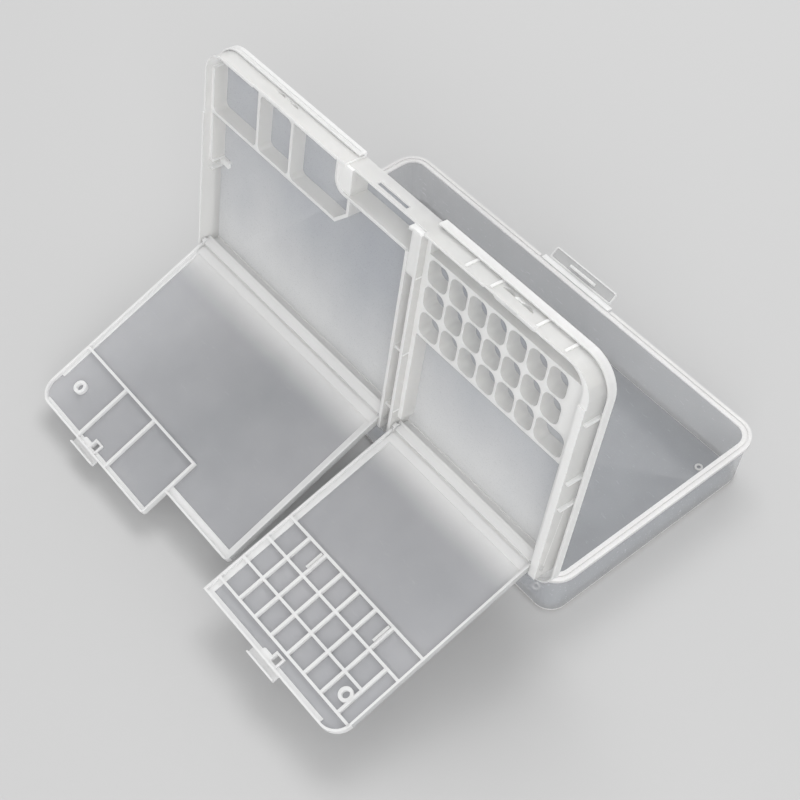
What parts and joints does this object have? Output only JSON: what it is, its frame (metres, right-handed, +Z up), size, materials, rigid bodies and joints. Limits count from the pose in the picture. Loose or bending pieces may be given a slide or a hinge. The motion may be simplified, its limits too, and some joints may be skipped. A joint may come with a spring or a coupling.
{
  "type": "hinged organiser box",
  "caption": "Translucent hinged organiser box: a shallow base, a leaning middle tray of compartments and small cells, and two swing-out covers with snap tabs.",
  "frame": {"origin": "middle of the base's flat underside", "axes": "+X along the hinges to the side with the cells, +Y from the hinge side to the latch side, +Z up"},
  "size_m": [0.21, 0.2132, 0.1353],
  "materials": {
    "base_plastic": "clear translucent polypropylene, smooth",
    "latch_plastic": "translucent polypropylene, satin",
    "tray_plastic": "milky translucent polypropylene, satin",
    "cover_plastic": "frosted translucent polypropylene, satin"
  },
  "bodies": {
    "base": {"base_box": "base_plastic", "floor_rings": "base_plastic", "main_hinge_pins": "base_plastic"},
    "latch_arm": {"latch_strip": "latch_plastic"},
    "latch_tip": {"latch_flap": "latch_plastic"},
    "tray": {"tray_plate": "tray_plastic", "tray_lip": "tray_plastic", "left_walls": "tray_plastic", "left_ledge_rail": "tray_plastic", "pocket_partition": "tray_plastic", "pocket_dividers": "tray_plastic", "left_catch_block": "tray_plastic", "latch_bay": "tray_plastic", "latch_keeper": "tray_plastic", "divider_walls": "tray_plastic", "channel_ribs": "tray_plastic", "right_seat_rails": "tray_plastic", "right_walls": "tray_plastic", "right_gussets": "tray_plastic", "right_catch_block": "tray_plastic", "cell_rows": "tray_plastic", "cell_dividers": "tray_plastic"},
    "left_cover": {"left_cover_panel": "cover_plastic", "left_cover_ribs": "cover_plastic", "left_cover_boss": "cover_plastic", "left_cover_tab": "cover_plastic", "left_cover_pins": "cover_plastic"},
    "right_cover": {"right_cover_panel": "cover_plastic", "right_cover_ribs": "cover_plastic", "right_cover_boss": "cover_plastic", "right_cover_tab": "cover_plastic", "right_cover_pins": "cover_plastic"}
  },
  "joints": [
    {"name": "main_hinge", "type": "hinge", "parent": "base", "child": "tray", "pos_m": [0, -0.05535, 0.02624], "axis": [1, 0, 0], "range_deg": [-81.1, 0]},
    {"name": "left_cover_hinge", "type": "hinge", "parent": "tray", "child": "left_cover", "pos_m": [0, -0.06019, 0.04228], "axis": [1, 0, 0], "range_deg": [-119.7, 0]},
    {"name": "right_cover_hinge", "type": "hinge", "parent": "tray", "child": "right_cover", "pos_m": [0, -0.06019, 0.04228], "axis": [1, 0, 0], "range_deg": [-113.8, 0]},
    {"name": "latch_strip_hinge", "type": "hinge", "parent": "base", "child": "latch_arm", "pos_m": [0, 0.05355, 0.0252], "axis": [1, 0, 0], "range_deg": [0, 90]},
    {"name": "latch_flap_hinge", "type": "hinge", "parent": "latch_arm", "child": "latch_tip", "pos_m": [0, 0.05635, 0.0252], "axis": [1, 0, 0], "range_deg": [-40, 0]}
  ],
  "couplings": [
    {"joint": "latch_flap_hinge", "follows": "latch_strip_hinge", "ratio": -0.44444}
  ]
}
